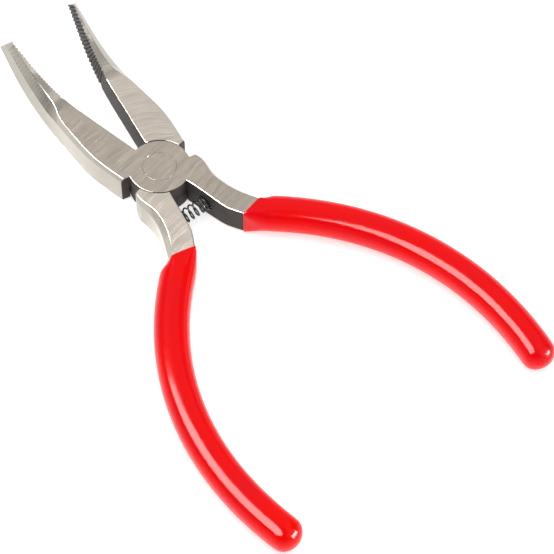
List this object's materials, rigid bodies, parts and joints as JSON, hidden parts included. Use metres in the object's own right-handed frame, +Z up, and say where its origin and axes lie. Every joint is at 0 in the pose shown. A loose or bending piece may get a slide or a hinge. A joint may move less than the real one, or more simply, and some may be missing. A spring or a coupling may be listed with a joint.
{
  "type": "bent-nose pliers",
  "caption": "Spring-loaded bent-nose pliers with a riveted lap joint, serrated upturned jaws, bowed handles and glossy red dipped grips, shown resting open.",
  "frame": {"origin": "the pivot axis where it meets the joint's underside, which is flat", "axes": "+Y runs along the tool to the jaws, +Z is up along the pivot axis, out of the rivet's upper head, and +X is to the right seen from above with the jaws away"},
  "size_m": [0.0826, 0.1414, 0.0172],
  "materials": {
    "tool_steel": "satin ground steel with polished chamfers and nose, dark oxide on the inner faces",
    "rivet_steel": "satin, ground flush with the joint",
    "spring_steel": "black oxide wire",
    "dipped_vinyl": "glossy dipped vinyl coat"
  },
  "bodies": {
    "lower": {"lower_half": "tool_steel", "pivot_rivet": "rivet_steel", "return_spring": "spring_steel", "lower_grip": "dipped_vinyl"},
    "upper": {"upper_half": "tool_steel", "upper_grip": "dipped_vinyl"}
  },
  "joints": [
    {"name": "jaw_pivot", "type": "hinge", "parent": "lower", "child": "upper", "pos_m": [0, 0, 0], "axis": [0, 0, 1], "range_deg": [-22, 12], "stiffness_Nm_per_rad": 0.4, "deforming": ["return_spring"]}
  ]
}
